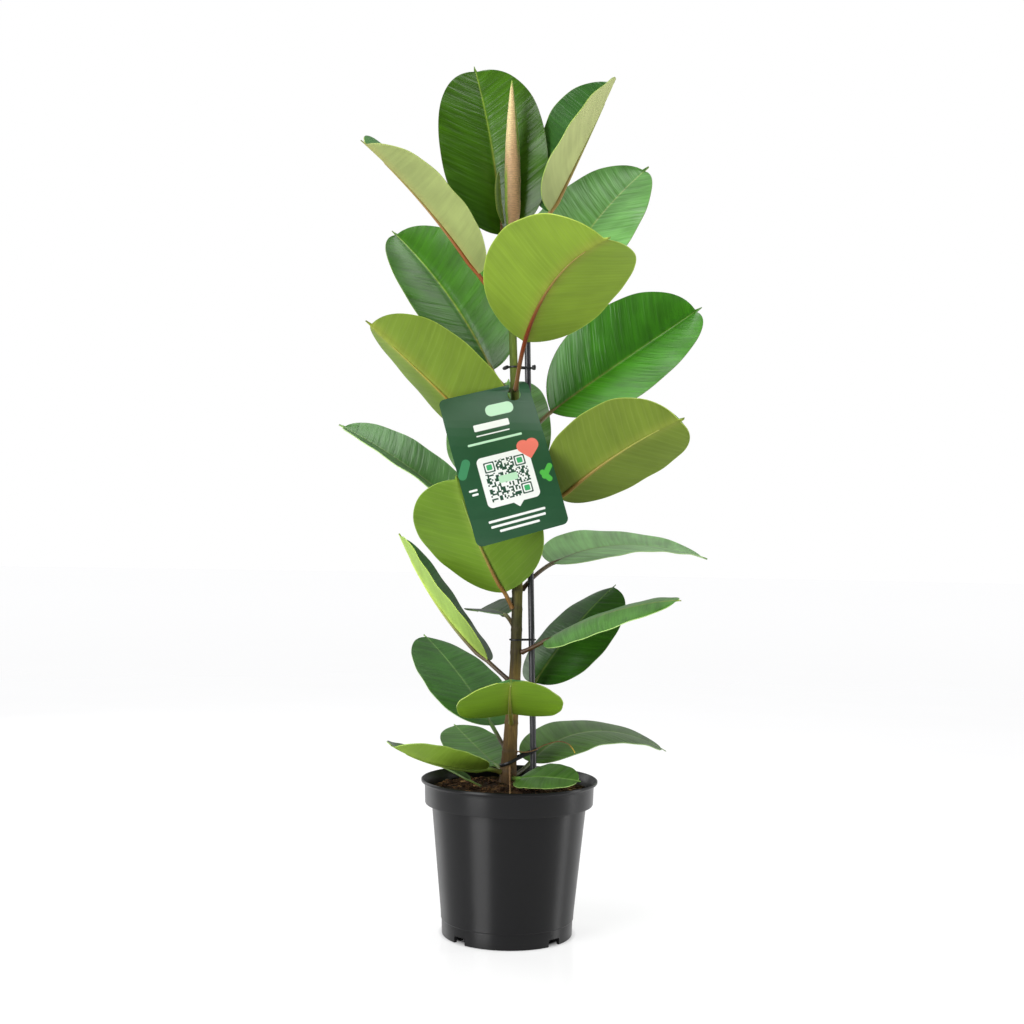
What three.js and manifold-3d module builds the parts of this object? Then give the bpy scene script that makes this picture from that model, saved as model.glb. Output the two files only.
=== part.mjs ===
// A rubber plant in its nursery pot: a single stem tied to a thin stake, twenty-three leaves set
// around it, a new leaf still rolled at the tip, and a care tag slipped over the stem.
// Millimetres, +Z up, origin at the middle of the pot's underside. The front faces -Y.
import * as THREE from "three";
import { mergeVertices } from "three/addons/utils/BufferGeometryUtils.js";
import Module from "manifold-3d";

const wasm = await Module();
wasm.setup();

// ---- Driving dimensions ----
const CLEARANCE = 0.3; // gap between pieces that touch
const POT = {
  height: 147,
  lipRadius: 85,
  bandRadius: 80.8,
  bandFoot: 124,
  bodyTopRadius: 74.4,
  bodyFootRadius: 63.3,
  footRadius: 62.5,
  footHeight: 15,
  wall: 1.6,
  floorTop: 6,
  floorUnderside: 4,
  hubRadius: 14,
  turns: 64,
};
const DRAIN = { count: 4, width: 12, height: 6, depth: 8 };
const SOIL = { level: 137, crown: 144, turns: 40 };
const STEM_SIDES = 12;
const STAKE = { radius: 3, bottom: 30, top: 578, y: 4, xAtSoil: 23.4, lean: -0.031 };
const SOIL_LINE = 145; // height at which the stake's x is given
const TAG = {
  width: 88,
  height: 145,
  corner: 6,
  thickness: 0.8,
  turn: 16.4, // degrees, anticlockwise seen from the front
  x: -11.2,
  z: 450,
  holeX: -2,
  holeZ: 517,
  holeRadius: 6.4,
  slot: 9.8, // width of the slot that runs from the hole to the top edge
  yaw: 0.2, // how much nearer the left side hangs, per millimetre of width
};
const PETIOLE_RADIUS = 2.1;
const BLADE_HALF_THICKNESS = 0.8;
const SECTION_POINTS = 8;
const PETIOLE_STEPS = 4;
const BLADE_STEPS = 12;
const DRIP_TIP = 0.115; // half-width of the drip tip where it leaves the blade, as a share

// The stem's centre line, x and radius at each height. It is vertical seen from the side.
const STEM = [
  // z, x, radius
  [70, -1.6, 5],
  [84, -1.6, 8],
  [110, -1.6, 9],
  [134, -1.6, 8.4],
  [150, -1.4, 8],
  [179, 0, 7],
  [203, 1, 6.4],
  [232, 3, 5.8],
  [256, 4, 5.5],
  [309, 4.5, 5.2],
  [377, 4.3, 4.9],
  [435, 2.3, 4.6],
  [494, -0.2, 4.3],
  [543, -2.5, 4],
  [572, -4, 3.8],
  [621, -5.5, 3.5],
  [661, -6.3, 3.3],
  [684, -6.5, 3.1],
];

// The leaves from the top down. Headings turn from +X (right) to +Y (back).
// node: height of the joint. rise: slope at which the leaf stalk leaves the stem.
// from, to: slope of the midrib at the blade's base and tip. turn: sideways bend of the midrib.
// roll: twist about the midrib. fold: how far each half lifts. cup: how much more it lifts outward.
// droop: how far a drip tip hangs, where it does.
const LEAVES = [
  // node, heading, stalk, rise, length, width, from, to, turn, roll, fold, cup, droop
  [662, 130, 22, 30, 188, 112, 82, 68, 2, 38, 20, 0],
  [662, -10, 50, 30, 150, 112, 64, 66, 35, -15, 40, -8],
  [606, 210, 44, 26, 176, 100, 50, 18, 25, 28, 30, -6],
  [580, 35, 46, 8, 198, 116, 66, 42, -25, -40, 12, 0],
  [520, -80, 64, 60, 216, 125, 28, 0, 16, 18, 16, 0],
  [522, 146, 32, 32, 195, 106, 60, 42, 10, 45, 20, 8],
  [450, 197, 14, 66, 182, 102, 43, 41, -11, -45, 32, 10],
  [463, 42, 60, 62, 221, 117, 33, 35, -29, -60, 28, 8],
  [412, 110, 32, 30, 172, 110, 50, 40, -38, 14, 2, -2],
  [388, -20, 46, 40, 152, 107, 41, 16, -25, 35, 12, 0],
  [362, 178, 38, 38, 177, 91, 44, 26, -9, 18, 14, 2],
  [310, -148, 18, 78, 134, 124, 56, 51, 43, -24, 17, 0],
  [327, 41, 49, 50, 192, 98, 22, -18, -28, -13, 7, -2],
  [240, 150, 30, 40, 168, 90, 36, 60, -5, -24, 24, -10],
  [290, 112, 28, 48, 72, 54, 12, -12, 4, 12, 12, 4],
  [218, 46, 30, 35, 156, 85, 46, 30, 0, -8, -8, -12],
  [268, -25, 26, 26, 150, 82, 30, 4, -12, -18, -4, -10],
  [172, 116, 38, 35, 162, 94, 32, 29, 15, -2, 2, -6],
  [200, -92, 25, 42, 138, 98, 21, 17, 4, -3, -12, 0, 80],
  [153, -152, 16, 26, 118, 72, 4, 27, 26, -4, 22, -2],
  [148, 113, 20, 32, 130, 62, 10, 12, -2, 6, 2, -4],
  [148, 50, 28, 15, 175, 80, 32, -31, -42, -10, 3, -6],
  [148, -54, 10, 2, 72, 44, 14, -6, 34, -24, 6, -6],
];

// A small leaf that comes up from the soil at the left.
const SPROUT = {
  foot: new THREE.Vector3(-26, -22, 142.4),
  stalkRadius: 1,
  leaf: [135, 18, 10, 34, 13, 14, 20, 36, 0, 20, 0],
};

// Two thin roots in the open, as points by hand: one dry strand from the stem to the low right
// leaf, and one down the front of the stem and over the soil.
const AERIAL_ROOT = {
  radius: 0.6,
  points: [
    [5, -6.4, 174.3],
    [13, -8.4, 173.4],
    [23, -8, 175.2],
    [34, -9, 181],
    [46, -12, 184.6],
    [55, -14, 183.2],
    [60, -16, 178.4],
    [62, -17, 174.6],
  ],
};
const SURFACE_ROOT = {
  radius: 0.9,
  points: [
    [0.3, -9.4, 160],
    [0.3, -9.8, 154],
    [0.4, -12, 147.5],
    [0.6, -20, 144.6],
    [0.8, -35, 142.4],
    [0.8, -52, 140.7],
    [0.7, -68, 139.4],
  ],
};

// ---- Colours and finishes ----
const FINISH = {
  leaf: { color: 0x2f6b33, roughness: 0.35 },
  newLeaf: { color: 0xc9ad84, roughness: 0.55 },
  stem: { color: 0x6d6238, roughness: 0.8 },
  root: { color: 0xa88d5a, roughness: 0.9 },
  soil: { color: 0x2e211b, roughness: 1 },
  pot: { color: 0x1d1d20, roughness: 0.4 },
  stake: { color: 0x1a1a1c, roughness: 0.35 },
  tie: { color: 0x121214, roughness: 0.5 },
  tag: { color: 0x2f5e48, roughness: 0.6 },
};

// ---- Helpers ----
const radians = THREE.MathUtils.degToRad;
const part = new THREE.Group();

function addPiece(name, geometry, finish) {
  const material = new THREE.MeshStandardMaterial({ metalness: 0, ...finish });
  const mesh = new THREE.Mesh(geometry, material);
  mesh.name = name;
  part.add(mesh);
  return mesh;
}

function toSolid(geometry) {
  const bare = geometry.clone();
  bare.deleteAttribute("normal");
  bare.deleteAttribute("uv");
  const merged = mergeVertices(bare, 1e-3);
  const vertProperties = new Float32Array(merged.attributes.position.array);
  const triVerts = new Uint32Array(merged.index.array);
  return new wasm.Manifold(new wasm.Mesh({ numProp: 3, vertProperties, triVerts }));
}

function toGeometry(solid) {
  const mesh = solid.getMesh();
  const geometry = new THREE.BufferGeometry();
  geometry.setAttribute("position", new THREE.BufferAttribute(mesh.vertProperties, 3));
  geometry.setIndex(new THREE.BufferAttribute(mesh.triVerts, 1));
  geometry.computeVertexNormals();
  return geometry;
}

// A closed skin over rings of points that run anticlockwise seen from the last ring.
function loft(rings) {
  const points = rings[0].length;
  const positions = rings.flat().flatMap((p) => [p.x, p.y, p.z]);
  const index = [];
  for (let r = 0; r + 1 < rings.length; r += 1) {
    for (let k = 0; k < points; k += 1) {
      const a = r * points + k;
      const b = r * points + ((k + 1) % points);
      index.push(a, b, b + points, a, b + points, a + points);
    }
  }
  const last = (rings.length - 1) * points;
  for (let k = 1; k + 1 < points; k += 1) {
    index.push(0, k + 1, k);
    index.push(last, last + k, last + k + 1);
  }
  const geometry = new THREE.BufferGeometry();
  geometry.setAttribute("position", new THREE.Float32BufferAttribute(positions, 3));
  geometry.setIndex(index);
  geometry.computeVertexNormals();
  return geometry;
}

// A ring of points about the vertical line through x, y.
function levelRing(x, y, z, radius, sides) {
  const ring = [];
  for (let k = 0; k < sides; k += 1) {
    const angle = (2 * Math.PI * k) / sides;
    ring.push(new THREE.Vector3(x + radius * Math.cos(angle), y + radius * Math.sin(angle), z));
  }
  return ring;
}

// A round cord of one thickness along a smooth curve through the points.
function cord(points, radius, steps, sides = 6) {
  const section = new THREE.Shape();
  section.absarc(0, 0, radius, 0, 2 * Math.PI, false);
  const path = new THREE.CatmullRomCurve3(points.map((p) => new THREE.Vector3(...p)));
  return new THREE.ExtrudeGeometry(section, {
    steps,
    bevelEnabled: false,
    extrudePath: path,
    curveSegments: sides,
  });
}

function lathe(profile, turns) {
  const points = profile.map(([radius, height]) => new THREE.Vector2(radius, height));
  return new THREE.LatheGeometry(points, turns).rotateX(Math.PI / 2);
}

// ---- Stem ----
// Centre x and radius of the stem at a height, between the rows of STEM.
function stemAt(z) {
  const last = STEM.length - 1;
  const k = Math.min(Math.max(STEM.findIndex((row) => row[0] > z), 1), last);
  const above = z >= STEM[last][0] ? last : k;
  const [z0, x0, r0] = STEM[above - 1];
  const [z1, x1, r1] = STEM[above];
  const share = Math.min((z - z0) / (z1 - z0), 1);
  return { x: x0 + share * (x1 - x0), radius: r0 + share * (r1 - r0) };
}

function stemGeometry(grow) {
  return loft(STEM.map(([z, x, radius]) => levelRing(x, 0, z, radius + grow, STEM_SIDES)));
}

// ---- Leaves ----
function direction(heading, elevation) {
  const a = radians(heading);
  const e = radians(elevation);
  return new THREE.Vector3(Math.cos(a) * Math.cos(e), Math.sin(a) * Math.cos(e), Math.sin(e));
}

// Half-width of a blade at s, from 0 at its base to 1 at its tip, as a share of the widest.
function outline(s) {
  const body = Math.min(s / 0.965, 1);
  const oval = Math.sqrt(Math.max(1 - Math.abs(2 * body ** 0.93 - 1) ** 2.25, 0));
  const tip = s > 0.9 ? DRIP_TIP * Math.min((1 - s) / 0.09, 1) : 0;
  return Math.max(oval, tip);
}

// One cross-section of stalk or blade: an oval of the given half-width and half-thickness whose
// two halves are lifted by the fold, and by the cup toward the margins.
function leafRing(centre, heading, elevation, roll, half, thick, fold, cup) {
  const a = radians(heading);
  const along = direction(heading, elevation);
  const right = new THREE.Vector3(Math.sin(a), -Math.cos(a), 0);
  const up = right.clone().cross(along);
  const tilt = radians(roll);
  const across = right.clone().multiplyScalar(Math.cos(tilt)).addScaledVector(up, Math.sin(tilt));
  const lift = up.multiplyScalar(Math.cos(tilt)).addScaledVector(right, -Math.sin(tilt));
  const ring = [];
  for (let k = 0; k < SECTION_POINTS; k += 1) {
    const angle = (-2 * Math.PI * k) / SECTION_POINTS;
    const reach = Math.abs(Math.cos(angle));
    const slope = radians(fold + 0.5 * cup * reach);
    const side = Math.sign(Math.cos(angle)) * half * reach * Math.cos(slope);
    const height = half * reach * Math.sin(slope) + thick * Math.sin(angle);
    ring.push(centre.clone().addScaledVector(across, side).addScaledVector(lift, height));
  }
  return ring;
}

function leafGeometry(start, row, stalkRadius) {
  const [heading, stalk, rise, length, width, from, to, turn, roll, fold, cup] = row;
  const droop = row[11] ?? 0;
  const knee = start.clone().addScaledVector(direction(heading, rise), stalk / 2);
  const base = knee.clone().addScaledVector(direction(heading, from), stalk / 2);
  const path = new THREE.QuadraticBezierCurve3(start, knee, base);
  const rings = [];
  for (let k = 0; k < PETIOLE_STEPS; k += 1) {
    const t = k / PETIOLE_STEPS;
    const slope = rise + (from - rise) * t;
    const point = path.getPoint(t);
    rings.push(leafRing(point, heading, slope, roll * t, stalkRadius, stalkRadius, 0, 0));
  }
  const centre = base.clone();
  for (let k = 0; k <= BLADE_STEPS; k += 1) {
    const s = k / BLADE_STEPS;
    if (k > 0) {
      const middle = (k - 0.5) / BLADE_STEPS;
      const sag = k === BLADE_STEPS ? droop : 0;
      const step = direction(heading + turn * middle, from + (to - from) * middle - sag);
      centre.addScaledVector(step, length / BLADE_STEPS);
    }
    const least = k < BLADE_STEPS ? stalkRadius * (1 - s) + 0.6 : 0.6;
    const half = Math.max(0.5 * width * outline(s), least);
    const rib = (stalkRadius - BLADE_HALF_THICKNESS) * (1 - s) ** 6;
    const thick = BLADE_HALF_THICKNESS * (1 - 0.4 * s) + rib;
    const slope = from + (to - from) * s;
    rings.push(leafRing(centre.clone(), heading + turn * s, slope, roll, half, thick, fold, cup));
  }
  return loft(rings);
}

// A leaf on the stem: the end of its stalk stands just clear of the bark.
function stemLeafGeometry([node, heading, stalk, rise, ...blade]) {
  const stem = stemAt(node);
  const reach = stem.radius + CLEARANCE + 0.2 + PETIOLE_RADIUS * Math.sin(radians(rise));
  const start = new THREE.Vector3(stem.x, 0, node).addScaledVector(direction(heading, 0), reach);
  return leafGeometry(start, [heading, stalk, rise, ...blade], PETIOLE_RADIUS);
}

function leafName(k) {
  return "leaf_" + String(k + 1).padStart(2, "0");
}

// ---- Growing tip ----
function rolledLeafGeometry() {
  const rows = [
    // z, x, radius
    [684.4, -6.4, 4.4],
    [700, -6.6, 6.2],
    [740, -7.2, 7.3],
    [768, -8, 6.2],
    [795, -8.8, 4],
    [815, -9.3, 2],
    [829, -9.4, 0.5],
  ];
  return loft(rows.map(([z, x, radius]) => levelRing(x, 0, z, radius, 10)));
}

function sheathGeometry() {
  const rows = [
    // z, x, half-width, half-depth
    [686, -15.2, 1.6, 1.6],
    [700, -19.2, 3.2, 1.8],
    [716, -21.2, 3, 1.8],
    [730, -21.6, 1.8, 1.4],
    [738, -21, 0.5, 0.5],
  ];
  const sides = 8;
  return loft(
    rows.map(([z, x, half, depth]) =>
      levelRing(0, 0, z, 1, sides).map((p) => new THREE.Vector3(x + half * p.x, depth * p.y, z)),
    ),
  );
}

// ---- Pot and soil ----
function potSolid() {
  const innerBand = POT.bandRadius - POT.wall;
  const innerTop = POT.bodyTopRadius - POT.wall;
  const innerFoot = POT.bodyFootRadius - POT.wall - 0.5;
  const profile = [
    [0, 0],
    [POT.hubRadius, 0],
    [POT.hubRadius + 2, POT.floorUnderside],
    [POT.footRadius - 4, POT.floorUnderside],
    [POT.footRadius - 3, 0],
    [POT.footRadius, 0],
    [POT.footRadius, POT.footHeight],
    [POT.bodyFootRadius, POT.footHeight + 1],
    [POT.bodyTopRadius, POT.bandFoot - 0.5],
    [POT.bandRadius, POT.bandFoot],
    [POT.bandRadius + 0.6, POT.height - 6],
    [POT.lipRadius, POT.height - 3],
    [POT.lipRadius, POT.height],
    [POT.lipRadius - 1.8, POT.height],
    [innerBand + 0.6, POT.height - 5],
    [innerBand, POT.bandFoot + 1.6],
    [innerTop, POT.bandFoot + 1],
    [innerFoot, POT.floorTop + 2],
    [innerFoot - 2, POT.floorTop],
    [0, POT.floorTop],
  ];
  let pot = toSolid(lathe(profile, POT.turns));
  for (let k = 0; k < DRAIN.count; k += 1) {
    const slot = new THREE.BoxGeometry(DRAIN.depth, DRAIN.width, DRAIN.height + 1);
    slot.translate(POT.footRadius - 0.5, 0, DRAIN.height / 2 - 0.5);
    slot.rotateZ((2 * Math.PI * k) / DRAIN.count + Math.PI / DRAIN.count);
    pot = pot.subtract(toSolid(slot));
  }
  return pot;
}

function soilGeometry() {
  const gap = CLEARANCE + 0.1;
  const footRadius = POT.bodyFootRadius - POT.wall - 0.5 - gap;
  const ledgeRadius = POT.bodyTopRadius - POT.wall - gap;
  const bandRadius = POT.bandRadius - POT.wall - gap;
  const ledge = POT.bandFoot + 1.6 + gap;
  const profile = [
    [0, POT.floorTop + gap],
    [footRadius - 2, POT.floorTop + gap],
    [footRadius, POT.floorTop + 2 + gap],
    [ledgeRadius, POT.bandFoot],
    [ledgeRadius, ledge],
    [bandRadius, ledge],
    [bandRadius, SOIL.level - 1],
    [0.8 * bandRadius, SOIL.level + 1],
    [0.45 * bandRadius, SOIL.level + 3.4],
    [0.2 * bandRadius, SOIL.crown - 1],
    [0, SOIL.crown],
  ];
  return lathe(profile, SOIL.turns);
}

// ---- Stake, ties and roots ----
function stakeX(z) {
  return STAKE.xAtSoil + STAKE.lean * (z - SOIL_LINE);
}

function stakeGeometry(grow) {
  const { bottom, top, radius, y } = STAKE;
  const rows = [
    [bottom, 0.6],
    [bottom + 12, radius],
    [top - 1.5, radius],
    [top, radius - 1.5],
  ];
  return loft(rows.map(([z, r]) => levelRing(stakeX(z), y, z, r + grow, STEM_SIDES)));
}

// A flat strap around stem and stake at a height, tilted about the front-to-back axis.
function strapSolid(z, height, thickness, tilt) {
  const stem = stemAt(z);
  const gap = CLEARANCE + 0.1;
  const stemLoop = stem.radius + gap;
  const stakeLoop = STAKE.radius + gap;
  const span = Math.hypot(stakeX(z) - stem.x, STAKE.y);
  const hull = (extra) => {
    const shape = new THREE.Shape();
    const wrap = Math.acos((stemLoop - stakeLoop) / span);
    shape.absarc(0, 0, stemLoop + extra, wrap, 2 * Math.PI - wrap, false);
    shape.absarc(span, 0, stakeLoop + extra, -wrap, wrap, false);
    shape.closePath();
    return shape;
  };
  const options = { depth: height, bevelEnabled: false, curveSegments: 10 };
  const outer = new THREE.ExtrudeGeometry(hull(thickness), options);
  const inner = new THREE.ExtrudeGeometry(hull(0), { ...options, depth: height + 2 });
  outer.translate(0, 0, -height / 2);
  inner.translate(0, 0, -height / 2 - 1);
  let strap = toSolid(outer).subtract(toSolid(inner));
  const place = new THREE.Matrix4().makeRotationY(radians(-tilt));
  place.premultiply(new THREE.Matrix4().makeRotationZ(Math.atan2(STAKE.y, span)));
  place.premultiply(new THREE.Matrix4().makeTranslation(stem.x, 0, z));
  strap = toSolid(toGeometry(strap).applyMatrix4(place));
  return strap;
}

// The upper tie is a plant clip: a thin strap with a knob at each end.
function clipSolid() {
  const height = 545.5;
  const strap = strapSolid(height, 2, 0.9, 0);
  const leftKnob = new THREE.SphereGeometry(3.2, 10, 6).scale(1.25, 0.7, 0.75);
  leftKnob.rotateY(radians(-28)).translate(-10.4, -0.6, height - 0.6);
  const rightKnob = new THREE.SphereGeometry(2.9, 10, 6).scale(0.8, 0.9, 1.15);
  rightKnob.translate(16.9, 1.6, height + 0.4);
  return strap.add(toSolid(leftKnob)).add(toSolid(rightKnob));
}

// ---- Care tag ----
// The slot is pushed over the stem, and the card then leans forward and hangs down.
function tagSolid() {
  const profile = new THREE.CatmullRomCurve3(
    [
      [-4, 560],
      [-6, 540],
      [-11, 523],
      [-19, 511],
      [-28, 500],
      [-46, 476],
      [-62, 440],
      [-70, 400],
      [-70, 350],
    ].map(([y, z]) => new THREE.Vector3(0, y, z)),
  );
  const bend = profile.getPoints(28);
  const rings = bend.map((p, k) => {
    const before = bend[Math.max(k - 1, 0)];
    const after = bend[Math.min(k + 1, bend.length - 1)];
    const along = after.clone().sub(before).normalize();
    const out = new THREE.Vector3(0, -along.z, along.y).multiplyScalar(TAG.thickness / 2);
    const corner = (x, side) => {
      const point = p.clone().addScaledVector(out, side).setX(x);
      point.y += TAG.yaw * (x - TAG.holeX);
      return point;
    };
    const w = TAG.width;
    return [corner(-w, 1), corner(w, 1), corner(w, -1), corner(-w, -1)];
  });
  const sheet = toSolid(loft(rings));
  const w = TAG.width / 2;
  const h = TAG.height / 2;
  const c = TAG.corner;
  const card = new THREE.Shape();
  card.moveTo(-w + c, -h);
  card.absarc(w - c, -h + c, c, -Math.PI / 2, 0, false);
  card.absarc(w - c, h - c, c, 0, Math.PI / 2, false);
  card.absarc(-w + c, h - c, c, Math.PI / 2, Math.PI, false);
  card.absarc(-w + c, -h + c, c, Math.PI, 1.5 * Math.PI, false);
  const cutter = new THREE.ExtrudeGeometry(card, {
    depth: 200,
    bevelEnabled: false,
    curveSegments: 4,
  });
  cutter.translate(0, 0, -100).rotateZ(radians(TAG.turn)).rotateX(Math.PI / 2);
  cutter.translate(TAG.x, 0, TAG.z);
  const hole = new THREE.CylinderGeometry(TAG.holeRadius, TAG.holeRadius, 60, 16);
  hole.translate(TAG.holeX, 0, TAG.holeZ);
  const slot = new THREE.BoxGeometry(TAG.slot, 60, 40).translate(TAG.holeX, 0, TAG.holeZ + 20);
  return sheet.intersect(toSolid(cutter)).subtract(toSolid(hole)).subtract(toSolid(slot));
}

// ---- Assembly ----
const stemSpace = toSolid(stemGeometry(CLEARANCE));
const stakeSpace = toSolid(stakeGeometry(CLEARANCE));

addPiece("nursery_pot", toGeometry(potSolid()), FINISH.pot);
const soil = toSolid(soilGeometry()).subtract(stemSpace).subtract(stakeSpace);
addPiece("potting_soil", toGeometry(soil), FINISH.soil);
addPiece("stem", stemGeometry(0), FINISH.stem);
LEAVES.forEach((row, k) => {
  addPiece(leafName(k), stemLeafGeometry(row), FINISH.leaf);
});
addPiece("sprout_leaf", leafGeometry(SPROUT.foot, SPROUT.leaf, SPROUT.stalkRadius), FINISH.leaf);
addPiece("rolled_new_leaf", rolledLeafGeometry(), FINISH.newLeaf);
addPiece("bud_sheath", sheathGeometry(), FINISH.newLeaf);
addPiece("support_stake", stakeGeometry(0), FINISH.stake);
addPiece("plant_clip", toGeometry(clipSolid()), FINISH.tie);
addPiece("tie_middle", toGeometry(strapSolid(280.5, 1.6, 0.8, 0)), FINISH.tie);
const lowTie = strapSolid(163, 3, 1.2, 24).subtract(stemSpace).subtract(stakeSpace);
addPiece("tie_lower", toGeometry(lowTie), FINISH.tie);
addPiece("care_tag", toGeometry(tagSolid()), FINISH.tag);
addPiece("aerial_root", cord(AERIAL_ROOT.points, AERIAL_ROOT.radius, 28), FINISH.root);
addPiece("surface_root", cord(SURFACE_ROOT.points, SURFACE_ROOT.radius, 28), FINISH.root);

export default part;
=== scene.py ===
# %% [markdown]
# # A rubber plant in its nursery pot
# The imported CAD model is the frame: every piece made here lies where a CAD node lies, in metres, with
# +Z up and the origin under the middle of the pot. The front of the plant faces -Y.

# %% Load the frame
import math
import random

import bpy
from mathutils import Matrix, Vector, noise


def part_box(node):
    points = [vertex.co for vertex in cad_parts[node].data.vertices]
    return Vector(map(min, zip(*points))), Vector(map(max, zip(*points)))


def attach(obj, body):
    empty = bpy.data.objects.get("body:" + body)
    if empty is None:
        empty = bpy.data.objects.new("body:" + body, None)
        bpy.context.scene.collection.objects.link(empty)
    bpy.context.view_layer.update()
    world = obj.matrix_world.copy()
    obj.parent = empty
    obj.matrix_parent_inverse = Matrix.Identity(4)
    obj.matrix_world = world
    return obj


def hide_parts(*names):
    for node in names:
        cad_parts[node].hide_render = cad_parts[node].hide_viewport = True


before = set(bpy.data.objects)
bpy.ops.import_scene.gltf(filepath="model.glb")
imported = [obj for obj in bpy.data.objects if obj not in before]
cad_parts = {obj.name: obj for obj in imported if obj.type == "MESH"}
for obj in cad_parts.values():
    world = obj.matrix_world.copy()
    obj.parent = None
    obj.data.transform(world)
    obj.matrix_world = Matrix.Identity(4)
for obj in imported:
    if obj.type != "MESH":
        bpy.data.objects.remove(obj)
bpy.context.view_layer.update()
MM = 0.001
random.seed(11)
bpy.context.scene.view_settings.view_transform = "Standard"
print("nodes in the frame:", len(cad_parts))

# %% [markdown]
# ## The camera
# A plant is viewed from a little over a metre away, with a lens near normal, from about two fifths of
# its height. The camera looks up by two degrees and leans by one.

# %% Camera
CAMERA_PLACE = Vector((-2, -1300, 359)) * MM
CAMERA_PITCH = math.radians(1.99)
CAMERA_ROLL = math.radians(1.0)
camera_data = bpy.data.cameras.new("camera")
camera_data.lens = 47.04
camera_data.sensor_width = 36
camera = bpy.data.objects.new("camera", camera_data)
bpy.context.collection.objects.link(camera)
level = Matrix.Rotation(math.radians(90) + CAMERA_PITCH, 4, "X")
camera.matrix_world = Matrix.Translation(CAMERA_PLACE) @ level @ Matrix.Rotation(CAMERA_ROLL, 4, "Z")
bpy.context.scene.camera = camera
print("camera at", tuple(round(c, 3) for c in camera.location))

# %% [markdown]
# ## Light
# Leaves and black plastic are shown by what they reflect. A tall softbox left of the camera draws the long
# highlight on the pot, weaker ones stand at the right and behind, a wide one hangs above, and a pale room
# does the rest. The room is brighter behind the plant than on the camera's side.


# %% Softboxes and room
def softbox(name, place, target, width, height, power):
    data = bpy.data.lights.new(name, "AREA")
    data.shape = "RECTANGLE"
    data.size = width
    data.size_y = height
    data.energy = power
    light = bpy.data.objects.new(name, data)
    bpy.context.collection.objects.link(light)
    toward = Vector(target) - Vector(place)
    light.matrix_world = Matrix.Translation(place) @ toward.to_track_quat("-Z", "Y").to_matrix().to_4x4()
    return light


softbox("key_softbox", (-1.1, -1.2, 0.75), (0, 0, 0.35), 0.8, 1.6, 30)
softbox("right_softbox", (1.5, 0.1, 0.6), (0, 0, 0.35), 0.35, 1.4, 9)
softbox("top_softbox", (0.1, 0.1, 2.1), (0, 0, 0.5), 1.3, 1.3, 17)
softbox("back_softbox", (-1.2, 1.1, 0.9), (0, 0, 0.4), 0.7, 1.4, 7)


def linear(colour):
    """The linear RGBA of an sRGB hex colour."""
    channels = [int(colour[k : k + 2], 16) / 255 for k in (1, 3, 5)]
    return tuple(c / 12.92 if c <= 0.04045 else ((c + 0.055) / 1.055) ** 2.4 for c in channels) + (1.0,)


def add(tree, kind, settings=None, links=None):
    """Adds a shader node, sets its properties and sockets, and links outputs to its sockets."""
    node = tree.nodes.new("ShaderNode" + kind)
    for key, value in (settings or {}).items():
        if key == "stops":
            ramp = node.color_ramp
            while len(ramp.elements) < len(value):
                ramp.elements.new(0.5)
            for element, (position, colour) in zip(ramp.elements, value):
                element.position = position
                element.color = colour
        elif isinstance(key, int) or key in node.inputs:
            node.inputs[key].default_value = value
        else:
            setattr(node, key, value)
    for key, output in (links or {}).items():
        tree.links.new(output, node.inputs[key])
    return node


def plug(tree, target, sockets):
    """Links the first output of each node to the named socket of the target."""
    for socket, node in sockets.items():
        tree.links.new(node.outputs[0], target.inputs[socket])


world = bpy.data.worlds.new("pale_room")
bpy.context.scene.world = world
world.use_nodes = True
sky = world.node_tree
sky.nodes.clear()
ray = add(sky, "TexCoord")
split = add(sky, "SeparateXYZ", links={0: ray.outputs["Generated"]})
depth = add(sky, "MapRange", {1: -0.6, 2: 0.8, 3: 0.1, 4: 0.36}, {0: split.outputs["Y"]})
room = add(sky, "Background", {"Color": linear("#fdfdff")}, {"Strength": depth.outputs[0]})
seen = add(sky, "Background", {"Color": linear("#ffffff"), "Strength": 1.0})
path = add(sky, "LightPath")
both = add(sky, "MixShader", links={0: path.outputs["Is Camera Ray"], 1: room.outputs[0], 2: seen.outputs[0]})
add(sky, "OutputWorld", links={"Surface": both.outputs[0]})
print("softboxes:", len(bpy.data.lights))

# %% [markdown]
# ## Helpers
# Two kinds of shape make most of the plant. A leaf is a flat grid of quads that is bent into place. A stalk,
# stem, rod or root is a grid rolled into a skin round a path. Both start as Blender's grid primitive, and
# each vertex is then moved by a rule. Colours that change from place to place along a leaf or a stem are
# written to the mesh as attributes, which the materials read.


# %% Objects and modifiers
def clear_selection():
    if bpy.context.object and bpy.context.object.mode != "OBJECT":
        bpy.ops.object.mode_set(mode="OBJECT")
    bpy.ops.object.select_all(action="DESELECT")


def activate(piece):
    clear_selection()
    piece.select_set(True)
    bpy.context.view_layer.objects.active = piece


def apply_modifier(piece, kind, **settings):
    activate(piece)
    modifier = piece.modifiers.new(kind.lower(), kind)
    for key, value in settings.items():
        setattr(modifier, key, value)
    bpy.ops.object.modifier_apply(modifier=modifier.name)


def merge_close(piece, distance=0.002 * MM):
    activate(piece)
    bpy.ops.object.mode_set(mode="EDIT")
    bpy.ops.mesh.select_all(action="SELECT")
    bpy.ops.mesh.remove_doubles(threshold=distance)
    bpy.ops.object.mode_set(mode="OBJECT")


def smooth(piece, degrees=40):
    activate(piece)
    bpy.ops.object.shade_smooth_by_angle(angle=math.radians(degrees))


def join(name, pieces):
    activate(pieces[0])
    for piece in pieces:
        piece.select_set(True)
    bpy.ops.object.join()
    joined = bpy.context.object
    joined.name = joined.data.name = name
    return joined


def finished(piece, slot, *nodes):
    """The piece rides with the plant and stands for CAD nodes. The slot is not used."""
    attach(piece, "root")
    if nodes:
        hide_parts(*nodes)
    print(piece.name, "faces:", len(piece.data.polygons))


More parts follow.
